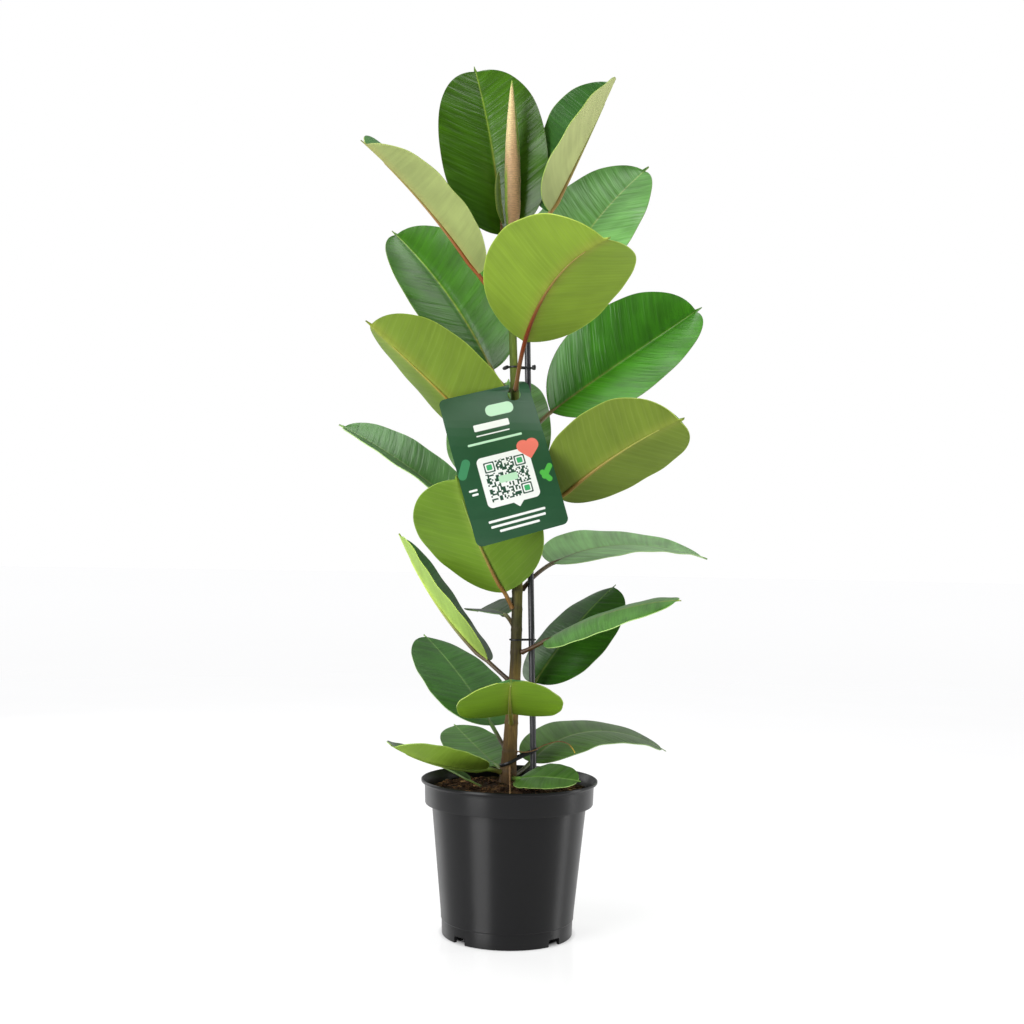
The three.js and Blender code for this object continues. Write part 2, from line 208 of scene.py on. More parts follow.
def shaped_grid(name, columns, rows, place, attributes=None):
    """A grid whose vertex at u, v, each from 0 to 1, goes to place(u, v)."""
    clear_selection()
    bpy.ops.mesh.primitive_grid_add(x_subdivisions=columns, y_subdivisions=rows, size=1)
    piece = bpy.context.object
    piece.name = piece.data.name = name
    spots = [(vertex.co.x + 0.5, vertex.co.y + 0.5) for vertex in piece.data.vertices]
    for attribute, value_at in (attributes or {}).items():
        values = [value_at(u, v) for u, v in spots]
        kind, field = ("FLOAT_COLOR", "color") if len(values[0]) == 4 else ("FLOAT_VECTOR", "vector")
        layer = piece.data.attributes.new(attribute, kind, "POINT")
        layer.data.foreach_set(field, [number for value in values for number in value])
    for vertex, (u, v) in zip(piece.data.vertices, spots):
        vertex.co = place(u, v)
    return piece


def blend(a, b, share):
    return tuple(x + (y - x) * share for x, y in zip(a, b))


def ease(value, low, high):
    """0 below low, 1 above high, and smooth between."""
    t = min(max((value - low) / (high - low), 0), 1)
    return t * t * (3 - 2 * t)


def smooth_path(points, count):
    """count + 1 points along a Catmull-Rom curve through the given ones."""
    points = [Vector(p) for p in points]
    ends = [2 * points[0] - points[1]] + points + [2 * points[-1] - points[-2]]
    route = []
    for k in range(count + 1):
        at = (len(points) - 1) * k / count
        span = min(int(at), len(points) - 2)
        t = at - span
        a, b, c, d = ends[span : span + 4]
        route.append(
            0.5 * (2 * b + (c - a) * t + (2 * a - 5 * b + 4 * c - d) * t * t + (3 * b - a - 3 * c + d) * t**3)
        )
    return route


def tube(name, route, radius_at, sides, normal, attributes=None, relief=None):
    """A skin round a route. radius_at gives its half-sizes across and along the normal at v."""
    last = len(route) - 1
    sections = []
    for k, centre in enumerate(route):
        tangent = (route[min(k + 1, last)] - route[max(k - 1, 0)]).normalized()
        normal = (normal - tangent * normal.dot(tangent)).normalized()
        sections.append((centre, normal.cross(tangent), normal))

    def place(u, v):
        centre, side, up = sections[round(v * last)]
        angle = 2 * math.pi * u
        across, along = radius_at(v)
        swell = 1 + (relief(u, v) if relief else 0)
        return centre + swell * (side * across * math.cos(angle) + up * along * math.sin(angle))

    piece = shaped_grid(name, sides, last, place, attributes)
    merge_close(piece)
    smooth(piece, 60)
    return piece


print("helpers ready")

# %% [markdown]
# ## Finishes of the plant
# The upper face of a rubber leaf is a green blade under a clear waxy cuticle, so it is a fairly smooth
# dielectric with an IOR near 1.45. Fine side veins run almost square to the midrib, one every few
# millimetres, and ripple the gloss into short streaks. The underside has no wax to speak of and is paler and
# matt. Both read the same attribute: the distance from the midrib and the place along it, in millimetres.


# %% Material for each living surface
VEIN_SPACING = 6.5  # between the stronger side veins, mm
VEIN_SHARE = 0.03  # of the vein's own tint along a vein
WAVE_PERIOD = 2 * math.pi / 20  # length of one band of the Wave texture at scale 1


def new_material(name, settings):
    material = bpy.data.materials.new(name)
    material.use_nodes = True
    tree = material.node_tree
    shader = tree.nodes["Principled BSDF"]
    for key, value in settings.items():
        shader.inputs[key].default_value = value
    return material, tree, shader


def noise_at(tree, place, scale, detail, roughness=0.5):
    """Noise on a place whose features lie closer along the axes with a larger scale."""
    stretched = add(tree, "Mapping", {"Scale": scale}, {0: place})
    settings = {"Scale": 1.0, "Detail": detail, "Roughness": roughness}
    return add(tree, "TexNoise", settings, {0: stretched.outputs[0]})


def per_metre(size, up=None):
    """How often a feature of a size in mm, and another size upward, fits in a metre along X, Y and Z."""
    return (1000 / size, 1000 / size, 1000 / (up or size))


def leaf_surface(name, colour_attribute, settings, vein_tint, streak_share, relief, vein_relief):
    material, tree, shader = new_material(name, settings)
    colour = add(tree, "Attribute", {"attribute_name": colour_attribute})
    place = add(tree, "Attribute", {"attribute_name": "vein_place"}).outputs["Vector"]
    streaks = noise_at(tree, place, (0.016, 0.17, 0.0), 2.5, 0.6)
    clouds = noise_at(tree, place, (0.03, 0.03, 0.0), 2.0)
    waves = {"bands_direction": "Y", "Scale": WAVE_PERIOD / VEIN_SPACING, "Distortion": 2.0, "Detail": 1.0}
    bands = add(tree, "TexWave", waves, {0: place})
    vein = add(tree, "MapRange", {1: 0.85, 2: 1.0, 3: 0.0, 4: VEIN_SHARE}, {0: bands.outputs["Fac"]})
    tint = {"data_type": "RGBA", 7: linear(vein_tint)}
    veined = add(tree, "Mix", tint, {0: vein.outputs[0], 6: colour.outputs["Color"]})
    mottle = add(tree, "Math", {"operation": "ADD"}, {0: streaks.outputs["Fac"], 1: clouds.outputs["Fac"]})
    share = {1: 0.75, 2: 1.25, 3: 1 - streak_share, 4: 1 + streak_share}
    value = add(tree, "MapRange", share, {0: mottle.outputs[0]})
    shaded = add(tree, "HueSaturation", links={"Color": veined.outputs[2], "Value": value.outputs[0]})
    raised = {"operation": "MULTIPLY_ADD", 1: vein_relief}
    height = add(tree, "Math", raised, {0: bands.outputs["Fac"], 2: streaks.outputs["Fac"]})
    bump = add(tree, "Bump", {"Strength": 1.0, "Distance": relief * MM}, {"Height": height.outputs[0]})
    plug(tree, shader, {"Base Color": shaded, "Normal": bump})
    return material


# Living leaf under a wax cuticle: clear gloss, broken into streaks by the side veins.
waxy_leaf = leaf_surface(
    "waxy_leaf_upper_face",
    "face_colour",
    {"Roughness": 0.3, "IOR": 1.45, "Specular IOR Level": 0.4, "Coat Weight": 0.08, "Coat Roughness": 0.12},
    vein_tint="#7fae57",
    streak_share=0.26,
    relief=0.9,
    vein_relief=0.04,
)
# The same leaf from below: matt, paler, with fine parallel veins.
leaf_underside = leaf_surface(
    "leaf_underside",
    "back_colour",
    {"Roughness": 0.62, "IOR": 1.4, "Specular IOR Level": 0.35},
    vein_tint="#c3c98b",
    streak_share=0.1,
    relief=0.15,
    vein_relief=0.05,
)


def painted_surface(name, attribute, settings, grain, share, relief):
    """A living or woody surface coloured by an attribute. Its grain is so many mm across and upward."""
    material, tree, shader = new_material(name, settings)
    colour = add(tree, "Attribute", {"attribute_name": attribute})
    place = add(tree, "TexCoord").outputs["Object"]
    fibre = noise_at(tree, place, per_metre(*grain), 4.0, 0.6)
    value = add(tree, "MapRange", {1: 0.3, 2: 0.7, 3: 1 - share, 4: 1 + share}, {0: fibre.outputs["Fac"]})
    shaded = add(tree, "HueSaturation", links={"Color": colour.outputs["Color"], "Value": value.outputs[0]})
    bump = add(tree, "Bump", {"Strength": 1.0, "Distance": relief * MM}, {"Height": fibre.outputs["Fac"]})
    plug(tree, shader, {"Base Color": shaded, "Normal": bump})
    return material


# The edge of a leaf: thin and without wax, in a green of its own for each leaf.
margin_gloss = {"Roughness": 0.45, "IOR": 1.4}
leaf_margin = painted_surface("leaf_margin", "edge_colour", margin_gloss, (3, 3), 0.08, 0.05)
# Leaf stalks and midribs: smooth green or reddish skin with fine lengthwise fibres.
stalk_gloss = {"Roughness": 0.42, "IOR": 1.42}
leaf_stalk = painted_surface("leaf_stalk", "stalk_colour", stalk_gloss, (1.2, 6), 0.14, 0.15)
# Young bark: dry and matt, cracked along the stem.
bark_gloss = {"Roughness": 0.72, "IOR": 1.4}
stem_bark = painted_surface("stem_bark", "bark_colour", bark_gloss, (1.1, 9), 0.3, 0.5)
# The papery skin of the rolled leaf: satin, with close cross ribs and a faint bloom.
skin_gloss = {"Roughness": 0.5, "IOR": 1.42, "Sheen Weight": 0.15}
new_leaf_skin = painted_surface("new_leaf_skin", "skin_colour", skin_gloss, (3, 1), 0.22, 0.6)
print("plant finishes:", len(bpy.data.materials))

# %% [markdown]
# ## The stem
# The stem is one tapering shoot. It is corky and brown at the foot, darker where old leaves have dropped, and
# green and smooth near the tip. Each leaf joint leaves a raised ring round it. The rows below are the ones
# that the CAD stem was built from, and the rings are added to its skin.

# %% Stem
STEM = [
    # z, x, radius, mm
    (70, -1.6, 5),
    (84, -1.6, 8),
    (110, -1.6, 9),
    (134, -1.6, 8.4),
    (150, -1.4, 8),
    (179, 0, 7),
    (203, 1, 6.4),
    (232, 3, 5.8),
    (256, 4, 5.5),
    (309, 4.5, 5.2),
    (377, 4.3, 4.9),
    (435, 2.3, 4.6),
    (494, -0.2, 4.3),
    (543, -2.5, 4),
    (572, -4, 3.8),
    (621, -5.5, 3.5),
    (661, -6.3, 3.3),
    (684, -6.5, 3.1),
]
JOINTS = [662, 606, 580, 521, 463, 450, 412, 388, 362, 327, 310, 290, 268, 240, 218, 200, 172, 153]
STEM_COLOURS = [
    # z, left side, right side
    (100, "#352616", "#352616"),
    (150, "#48341a", "#584222"),
    (200, "#56401e", "#765f2a"),
    (240, "#4c3a16", "#7e682a"),
    (262, "#28200c", "#544a1a"),
    (300, "#221e0c", "#4a4a1c"),
    (322, "#302c10", "#666224"),
    (350, "#444212", "#78742c"),
    (420, "#484c14", "#707028"),
    (520, "#4a5418", "#667024"),
    (600, "#445c18", "#607822"),
    (700, "#486a1a", "#668624"),
]


def between(rows, at):
    """The values of a table at a place between its rows."""
    k = max(1, min(len(rows) - 1, next((n for n, row in enumerate(rows) if row[0] > at), len(rows) - 1)))
    low, high = rows[k - 1], rows[k]
    share = min(max((at - low[0]) / (high[0] - low[0]), 0), 1)
    return [a + (b - a) * share for a, b in zip(low[1:], high[1:])]


def along(rows, v):
    """The height at v, from 0 at the first row of a table to 1 at the last."""
    return rows[0][0] + (rows[-1][0] - rows[0][0]) * v


def upright_route(rows, rings):
    """The centre line of a table whose rows give a height and a place along X."""
    heights = [along(rows, k / rings) for k in range(rings + 1)]
    return [Vector((between(rows, z)[0], 0, z)) * MM for z in heights]


def upright_radius(rows):
    """The radius at v from a table, drawn in to a point at both ends."""

    def radius_at(v):
        radius = 0 if v in (0, 1) else between(rows, along(rows, v))[1] * MM
        return radius, radius

    return radius_at


STEM_RINGS = 420
STEM_SIDES = 28
RING_HALF_HEIGHT = 1.3  # mm
SCAR_RISE = 2  # how far a leaf scar sits above its joint, mm
BACKWARD = Vector((0, 1, 0))


def stem_relief(u, v):
    z = along(STEM, v)
    ring = sum(math.exp(-(((z - joint) / RING_HALF_HEIGHT) ** 2)) for joint in JOINTS)
    around = Vector((math.cos(2 * math.pi * u), math.sin(2 * math.pi * u), 0))
    cork = noise.noise(around * 2.2 + Vector((0, 0, z * 0.09)))
    fine = noise.noise(around * 6 + Vector((0, 0, z * 0.03)))
    coarse = 1 - ease(z, 200, 330)
    return 0.07 * ring + (0.03 + 0.05 * coarse) * cork + 0.03 * fine


def stem_colour(u, v):
    z = along(STEM, v)
    colours = [(row[0], *linear(row[1])[:3], *linear(row[2])[:3]) for row in STEM_COLOURS]
    values = between(colours, z)
    side = 0.5 + 0.5 * math.cos(2 * math.pi * u + math.radians(180))
    streak = noise.noise(Vector((math.cos(2 * math.pi * u) * 3, math.sin(2 * math.pi * u) * 3, z * 0.02)))
    side = min(max(1 - side + 0.5 * streak, 0), 1)
    scar = max(math.exp(-(((z - joint - SCAR_RISE) / 1.6) ** 2)) for joint in JOINTS)
    colour = blend(values[:3], values[3:], side)
    return (*blend(colour, (0.05, 0.035, 0.02), 0.45 * scar), 1.0)


stem_route = upright_route(STEM, STEM_RINGS)
stem_skin = {"bark_colour": stem_colour}
stem = tube("ringed_stem", stem_route, upright_radius(STEM), STEM_SIDES, BACKWARD, stem_skin, stem_relief)
stem.data.materials.append(stem_bark)
finished(stem, "bark", "stem")

# %% [markdown]
# ## The leaves
# A leaf is a flat oval blade with a short drip tip. It is folded along its midrib, rolled about it, and bent
# along and across it, and its edge waves a little. Each row of the chart says how one leaf grew. The blade
# starts as a grid: its columns lie close together at the midrib and at the margins, where the colour changes
# fastest. A Solidify modifier then gives it two faces and a rim, each with its own finish.

# %% How each leaf grew
LEAVES = [
    # node, heading, stalk, rise, length, width, from, to, turn, roll, fold, cup, droop
    (662, 130, 22, 30, 188, 112, 82, 68, 2, 38, 20, 0, 0),
    (662, -10, 50, 30, 150, 112, 64, 66, 35, -15, 40, -8, 0),
    (606, 210, 44, 26, 176, 100, 50, 18, 25, 28, 30, -6, 0),
    (580, 35, 46, 8, 198, 116, 66, 42, -25, -40, 12, 0, 0),
    (520, -80, 64, 60, 216, 125, 28, 0, 16, 18, 16, 0, 0),
    (522, 146, 32, 32, 195, 106, 60, 42, 10, 45, 20, 8, 0),
    (450, 197, 14, 66, 182, 102, 43, 41, -11, -45, 32, 10, 0),
    (463, 42, 60, 62, 221, 117, 33, 35, -29, -60, 28, 8, 0),
    (412, 110, 32, 30, 172, 110, 50, 40, -38, 14, 2, -2, 0),
    (388, -20, 46, 40, 152, 107, 41, 16, -25, 35, 12, 0, 0),
    (362, 178, 38, 38, 177, 91, 44, 26, -9, 18, 14, 2, 0),
    (310, -148, 18, 78, 134, 124, 56, 51, 43, -24, 17, 0, 0),
    (327, 41, 49, 50, 192, 98, 22, -18, -28, -13, 7, -2, 0),
    (240, 150, 30, 40, 168, 90, 36, 60, -5, -24, 24, -10, 0),
    (290, 112, 28, 48, 72, 54, 12, -12, 4, 12, 12, 4, 0),
    (218, 46, 30, 35, 156, 85, 46, 30, 0, -8, -8, -12, 0),
    (268, -25, 26, 26, 150, 82, 30, 4, -12, -18, -4, -10, 0),
    (172, 116, 38, 35, 162, 94, 32, 29, 15, -2, 2, -6, 0),
    (200, -92, 25, 42, 138, 98, 21, 17, 4, -3, -12, 0, 80),
    (153, -152, 16, 26, 118, 72, 4, 27, 26, -4, 22, -2, 0),
    (148, 113, 20, 32, 130, 62, 10, 12, -2, 6, 2, -4, 0),
    (148, 50, 28, 15, 175, 80, 32, -31, -42, -10, 3, -6, 0),
    (148, -54, 10, 2, 72, 44, 14, -6, 34, -24, 6, -6, 0),
]
# The colours of each leaf: upper face, underside, edge, stalk, the stalk where it meets the blade, and
# the midrib at its far end.
# The pale bluish upper faces, such as the fourth and the thirteenth, are partly the leaf's own green and
# partly a painted reflection of the pale room on their gloss.
LEAF_COLOURS = [
    "#3a6404 #8fae3c #51602a #6d4a26 #7a5128 #86a03c",
    "#2f5c20 #bec484 #a9c060 #8a6a34 #a08048 #b0b872",
    "#3c8224 #929e5e #b0c06c #7c4a26 #8a4a20 #a8985c",
    "#70aa5a #9fb55a #6f9a48 #7d8a40 #86a040 #a3bc60",
    "#3f8a28 #748e27 #b4cc54 #6d4a26 #6e280c #867a34",
    "#386e0c #9fb24a #6a8a3a #7f7a30 #94903c #98b854",
    "#3f8a28 #6c8528 #b0c850 #8a5a24 #96621c #9c9a3c",
    "#469018 #8fae3c #5a8430 #4e2d18 #7d6a2c #84b048",
    "#5c8c44 #8fb060 #80a460 #6d6a30 #8a9c4c #98b868",
    "#4a8a2c #697d28 #a4b850 #6a4524 #8a6a28 #929840",
    "#5a8e4a #9fbf6c #a8c87c #6d7a34 #8aa450 #a4c078",
    "#4a8f2a #60811d #a4c450 #7a5424 #8a6430 #86a03c",
    "#8ec07a #98bb76 #a3c480 #4c3622 #64583a #9cbc74",
    "#2b6018 #90b04a #c0dc68 #3c2e1e #54442a #c8dc68",
    "#2c4c12 #9fb878 #7c9c68 #4a3c24 #5c6034 #80a064",
    "#245208 #7d9a3c #587838 #5a4a24 #5c6a2c #6c8c3c",
    "#548c36 #86a838 #b4d880 #4a3018 #4c3a1e #98983c",
    "#386724 #86a84c #88a868 #3c3220 #4c6830 #7aa054",
    "#4a7c3c #648812 #98b048 #6d6a28 #74742a #849030",
    "#3f6a24 #749428 #a4c45c #5a5a24 #6a8430 #98b448",
    "#4a782c #86a84c #80a060 #4a4028 #5a7434 #7c9c54",
    "#557a38 #98bb6c #a0c07c #4a4a30 #6a7a48 #b4cc90",
    "#4a742c #86a83c #a4c870 #4a5a24 #5a8434 #88b45c",
]
BLADE_ROWS = 96
BLADE_STEPS = 960  # steps in which a midrib is followed
BLADE_COLUMNS = 40
BLADE_THICKNESS = 0.8  # mm
DRIP_TIP = 0.08  # half-width of the drip tip where it leaves the blade, as a share of the widest
STALK_RADIUS = 2.1  # mm
STALK_ROWS = 16
RIB_ROWS = 60
RIB_END = 0.82  # share of the blade at which the midrib has sunk into it
SAG_FROM = 0.95  # share of the midrib past which a drip tip may droop
VEIN_RAKE = 0.34  # how far a side vein runs toward the tip for each mm from the midrib
VEIN_CURL = 0.0016  # how much more it does so near the margin
LEAF_APART = 90  # shift across the pattern for each unit of a leaf's seed, mm, so that no two are alike
DRY_TIP = (0.02, 0.018, 0.01)


def direction(heading, elevation):
    a, e = math.radians(heading), math.radians(elevation)
    return Vector((math.cos(a) * math.cos(e), math.sin(a) * math.cos(e), math.sin(e)))


def outline(s):
    """Half-width of a blade at s, from 0 at its base to 1 at its tip, as a share of the widest."""
    body = min(s / 0.965, 1)
    oval = math.sqrt(max(1 - abs(2 * body**0.93 - 1) ** 2.25, 0))
    tip = DRIP_TIP * min((1 - s) / 0.09, 1) if s > 0.9 else 0
    return max(oval, tip)


def midrib(base, row, steps):
    """Centre, direction, right-hand and lift vectors at each step of a blade's midrib."""
    heading, length, start, end, turn, roll, droop = (row[k] for k in (1, 4, 6, 7, 8, 9, 12))
    centre = base.copy()
    sections = []
    for k in range(steps + 1):
        s = k / steps
        if k > 0:
            middle = (k - 0.5) / steps
            sag = droop if middle > SAG_FROM else 0
            step = direction(heading + turn * middle, start + (end - start) * middle - sag)
            centre = centre + step * length * MM / steps
        along = direction(heading + turn * s, start + (end - start) * s)
        a = math.radians(heading + turn * s)
        right = Vector((math.sin(a), -math.cos(a), 0))
        up = right.cross(along)
        tilt = math.radians(roll)
        across = right * math.cos(tilt) + up * math.sin(tilt)
        lift = up * math.cos(tilt) - right * math.sin(tilt)
        sections.append((centre, across, lift))
    return sections


def spread(u):
    """Signed share of the half-width for a column at u, with columns close at midrib and margin."""
    side = 2 * u - 1
    reach = abs(side)
    return math.copysign(reach - 0.72 * math.sin(2 * math.pi * reach) / (2 * math.pi), side)


def station(v):
    """The place along a midrib of a row of vertices at v. Rows lie close together at base and tip."""
    return v - 0.8 * math.sin(2 * math.pi * v) / (2 * math.pi)


def blade(name, base, row, colours, seed):
    length, width, fold, cup = row[4], row[5], row[10], row[11]
    sections = midrib(base, row, BLADE_STEPS)
    top, back, edge, _, rib_near, rib_far = (linear(colour) for colour in colours.split())

    def lateral(u, s):
        return max(0.5 * width * outline(s), STALK_RADIUS * (1 - s) if s < 1 else 0.25) * abs(spread(u))

    def place(u, v):
        centre, across, lift = sections[round(v * BLADE_STEPS)]
        side = spread(u)
        reach = abs(side)
        slope = math.radians(fold * ease(reach, -0.05, 0.12) + 0.5 * cup * reach)
        wide = lateral(u, v)
        swing = noise.noise(Vector((3.1 * v, 0.8 * side, seed)))
        wave = swing * 0.029 * width * reach**2 * ease(v, 0.05, 0.3)
        frill = 0.0045 * width * math.sin(9 * math.pi * v + 2 * seed) * reach**3
        wave += frill * ease(v, 0.1, 0.3) * ease(-v, -0.97, -0.8)
        groove = -0.35 * math.exp(-((wide / 1.4) ** 2)) * (1 - v)
        offset = across * math.copysign(wide * math.cos(slope), side)
        return centre + (offset + lift * (wide * math.sin(slope) + wave + groove)) * MM

    def vein_place(u, v):
        wide = lateral(u, v)
        sideways = math.copysign(wide, u - 0.5) + LEAF_APART * seed
        return (sideways, v * length - VEIN_RAKE * wide - VEIN_CURL * wide**2, 0.0)

    def tipped(tone, share, v):
        return (*blend(tone, DRY_TIP, share * ease(v, 0.98, 0.995)), 1.0)

    def face_colour(u, v):
        wide, reach = lateral(u, v), abs(spread(u))
        # Painted shade: the upper face darkens toward its base, where it sits close to the stem among the
        # other leaves.
        tone = blend(top, [c * 0.72 for c in top], ease(-v, -0.35, 0.05) * 0.6)
        rib = blend(rib_near, rib_far, ease(v, 0.0, 0.7))
        tone = blend(tone, rib, 0.85 * math.exp(-((wide / (1.1 - 0.5 * v)) ** 2)))
        return tipped(blend(tone, edge, 0.6 * ease(reach, 0.984, 1.0)), 0.3, v)

    def back_colour(u, v):
        wide, reach = lateral(u, v), abs(spread(u))
        # Painted shade: the underside darkens toward its base in the same way.
        tone = blend(back, [c * 0.62 for c in back], ease(-v, -0.3, 0.02) * 0.7)
        tone = blend(tone, rib_far, 0.35 * math.exp(-((wide / 6) ** 2)))
        return tipped(blend(tone, edge, 0.7 * ease(reach, 0.982, 0.998)), 0.3, v)

    def edge_colour(u, v):
        return tipped(edge, 0.5, v)

    painted = {
        "vein_place": vein_place,
        "face_colour": face_colour,
        "back_colour": back_colour,
        "edge_colour": edge_colour,
    }
    piece = shaped_grid(
        name,
        BLADE_COLUMNS,
        BLADE_ROWS,
        lambda u, v: place(u, station(v)),
        {key: lambda u, v, rule=rule: rule(u, station(v)) for key, rule in painted.items()},
    )
    for material in (waxy_leaf, leaf_underside, leaf_margin, leaf_stalk):
        piece.data.materials.append(material)
    faces = {"material_offset": 1, "material_offset_rim": 2}
    apply_modifier(piece, "SOLIDIFY", thickness=BLADE_THICKNESS * MM, offset=0, use_rim=True, **faces)
    smooth(piece, 70)
    return piece


def stalk_and_rib(name, start, knee, base, row, colours, stalk_radius):
    """The leaf stalk and the midrib that it runs on into, under the blade."""
    sections = midrib(base, row, RIB_ROWS)
    stalk, near, far = (linear(colour) for colour in colours.split()[3:])
    route = []
    for k in range(STALK_ROWS):
        t = k / STALK_ROWS
        route.append(start * (1 - t) ** 2 + knee * 2 * t * (1 - t) + base * t**2)
    last = round(RIB_END * RIB_ROWS)
    for k in range(last + 1):
        s = k / RIB_ROWS
        centre, _, lift = sections[k]
        sink = (rib_radius(s, stalk_radius) + 0.1) * min(s / 0.08, 1)
        route.append(centre - lift * sink * MM)
    total = len(route) - 1

    def radius_at(v):
        k = round(v * total)
        if k == 0 or k == total:
            return 0, 0
        if k < STALK_ROWS:
            radius = stalk_radius * (1 + 0.4 * math.exp(-((k / 2.2) ** 2)))
        else:
            radius = rib_radius((k - STALK_ROWS) / RIB_ROWS, stalk_radius)
        return radius * MM, radius * MM

    def stalk_colour(u, v):
        k = v * total
        tone = blend(stalk, near, ease(k, 0.3 * STALK_ROWS, STALK_ROWS))
        tone = blend(tone, far, ease(k, STALK_ROWS + 4, STALK_ROWS + 0.75 * RIB_ROWS))
        return (*blend(tone, (0.06, 0.035, 0.02, 1), 0.5 * ease(-k, -3, 0))[:3], 1.0)

    tube_piece = tube(name, route, radius_at, 12, sections[0][2], {"stalk_colour": stalk_colour})
    tube_piece.data.materials.append(leaf_stalk)
    return tube_piece


def rib_radius(s, stalk_radius):
    return stalk_radius * (0.9 * (1 - s) ** 1.3 + 0.12)


def leaf(number, row, colours):
    node, heading, stalk, rise, start_slope = (row[k] for k in (0, 1, 2, 3, 6))
    stem_x, stem_r = between(STEM, node)
    joint = Vector((stem_x, 0, node))
    bark = joint + direction(heading, 0) * (stem_r - 0.6)
    reach = stem_r + 0.5 + STALK_RADIUS * math.sin(math.radians(rise))
    knee = joint + direction(heading, 0) * reach + direction(heading, rise) * stalk / 2
    base = knee + direction(heading, start_slope) * stalk / 2
    flat = blade(f"blade_{number:02d}", base * MM, row, colours, number * 0.37)
    rib = stalk_and_rib(f"rib_{number:02d}", bark * MM, knee * MM, base * MM, row, colours, STALK_RADIUS)
    piece = join(f"rubber_leaf_{number:02d}", [flat, rib])
    finished(piece, "leaf", f"leaf_{number:02d}")
    return piece


for number, (row, colours) in enumerate(zip(LEAVES, LEAF_COLOURS), start=1):
    leaf(number, row, colours)

# %% [markdown]
# ## The sprout
# A narrow little leaf comes up from the soil at the left. It is made like the others, only smaller.

# %% Sprout
SPROUT = (0, 135, 18, 10, 34, 13, 14, 20, 36, 0, 20, 0, 0)
SPROUT_STALK_RADIUS = 1.0
sprout_heading, sprout_stalk, sprout_rise, sprout_slope = (SPROUT[k] for k in (1, 2, 3, 6))
sprout_foot = Vector((-26, -22, 142.4))
sprout_knee = sprout_foot + direction(sprout_heading, sprout_rise) * sprout_stalk / 2
sprout_base = sprout_knee + direction(sprout_heading, sprout_slope) * sprout_stalk / 2
sprout_colours = "#4c7038 #7c9a4c #80a060 #5a6a34 #6a843c #84a060"
sprout_blade = blade("sprout_blade", sprout_base * MM, SPROUT, sprout_colours, 9.1)
sprout_path = [point * MM for point in (sprout_foot, sprout_knee, sprout_base)]
sprout_rib = stalk_and_rib("sprout_rib", *sprout_path, SPROUT, sprout_colours, SPROUT_STALK_RADIUS)
sprout = join("soil_sprout", [sprout_blade, sprout_rib])
finished(sprout, "leaf", "sprout_leaf")

# %% [markdown]
# ## The growing tip
# The newest leaf is still rolled into a pointed spike inside its stipule, a thin skin the colour of pale
# wood with close cross ribs. Green shows where the roll is opening. An older stipule clings beside its foot.

# %% Rolled new leaf and sheath
SPIKE = [
    # z, x, radius, mm
    (684, -6.5, 5.6),
    (700, -6.6, 7.4),
    (735, -7.0, 8.1),
    (768, -7.8, 6.8),
    (795, -8.6, 4.6),
    (815, -9.2, 2.4),
    (829, -9.4, 0.5),
]
SPIKE_RINGS = 150
SPIKE_SIDES = 40
RIB_SPACING = 2.2  # between the cross ribs of the skin, mm
LIME_STRIPS = [
    # middle of the strip round the spike, half-width where it fades, half-width where it is full, degrees
    (326, 24, 12),
    (206, 26, 14),
]


def spike_turn(u, v):
    """Share of a turn past the edge of the roll, which climbs to the right."""
    edge = 0.02 + 0.16 * ease(v, 0.1, 0.9)
    return (u - edge) % 1


def spike_relief(u, v):
    ribs = 0.02 * math.sin(along(SPIKE, v) * 2 * math.pi / RIB_SPACING)
    return 0.10 * (1 - spike_turn(u, v)) - 0.05 + ribs


def spike_colour(u, v):
    z = along(SPIKE, v)
    skin = blend(linear("#cda478"), linear("#dcc08a"), ease(z, 745, 800))
    skin = blend(skin, linear("#b88660"), 0.5 * ease(-z, -735, -690))
    rib = 1 + 0.14 * math.sin(z * 2 * math.pi / RIB_SPACING + 2)
    skin = [c * rib for c in skin]
    lime = linear("#8fae3c")
    angle = 360 * u
    right, left = (ease(-abs(angle - middle), -fade, -full) for middle, fade, full in LIME_STRIPS)
    opening = max(right * ease(z, 745, 768), left * ease(-z, -748, -730), ease(z, 818, 829))
    # Painted light: the skin is painted paler round its left side, where the light falls, and round its back.
    pale = ease(z, 735, 780) * ease(-angle, -262, -232)
    skin = blend(skin, linear("#ead9a0"), 0.7 * pale)
    return (*blend(skin, lime, opening)[:3], 1.0)


spike_route = upright_route(SPIKE, SPIKE_RINGS)
spike_skin = {"skin_colour": spike_colour}
spike_size = upright_radius(SPIKE)
spike = tube("rolled_spike", spike_route, spike_size, SPIKE_SIDES, BACKWARD, spike_skin, spike_relief)
spike.data.materials.append(new_leaf_skin)
finished(spike, "new_leaf", "rolled_new_leaf")

SHEATH = [
    # z, x, half-width, half-depth, mm
    (686, -15.2, 1.2, 1.4),
    (700, -19.2, 3.2, 1.8),
    (716, -21.2, 3, 1.8),
    (730, -21.6, 1.8, 1.4),
    (738, -21, 0.5, 0.5),
]
SHEATH_RINGS = 40
SHEATH_SIDES = 20
sheath_route = smooth_path([(x * MM, 0, z * MM) for z, x, _, _ in SHEATH], SHEATH_RINGS)


def sheath_radius(v):
    end = 0 if v in (0, 1) else MM
    _, half, depth = between(SHEATH, along(SHEATH, v))
    return half * end, depth * end


def sheath_colour(u, v):
    edge = abs(math.cos(2 * math.pi * u)) ** 3
    return (*blend(linear("#4a6014"), linear("#9aa83e"), 0.8 * edge)[:3], 1.0)


sheath_skin = {"skin_colour": sheath_colour}
sheath = tube("old_stipule", sheath_route, sheath_radius, SHEATH_SIDES, BACKWARD, sheath_skin)
sheath.data.materials.append(new_leaf_skin)
finished(sheath, "sheath", "bud_sheath")

# %% [markdown]
# ## The pot
# A nursery pot is vacuum-formed or moulded from black polypropylene: a thin cone with a stacking band, a
# rolled lip, and slots cut at its foot. The wall is one ring of edges, extruded and scaled from one profile
# point to the next, from the underside up the outside and down the inside. Boxes cut the slots.

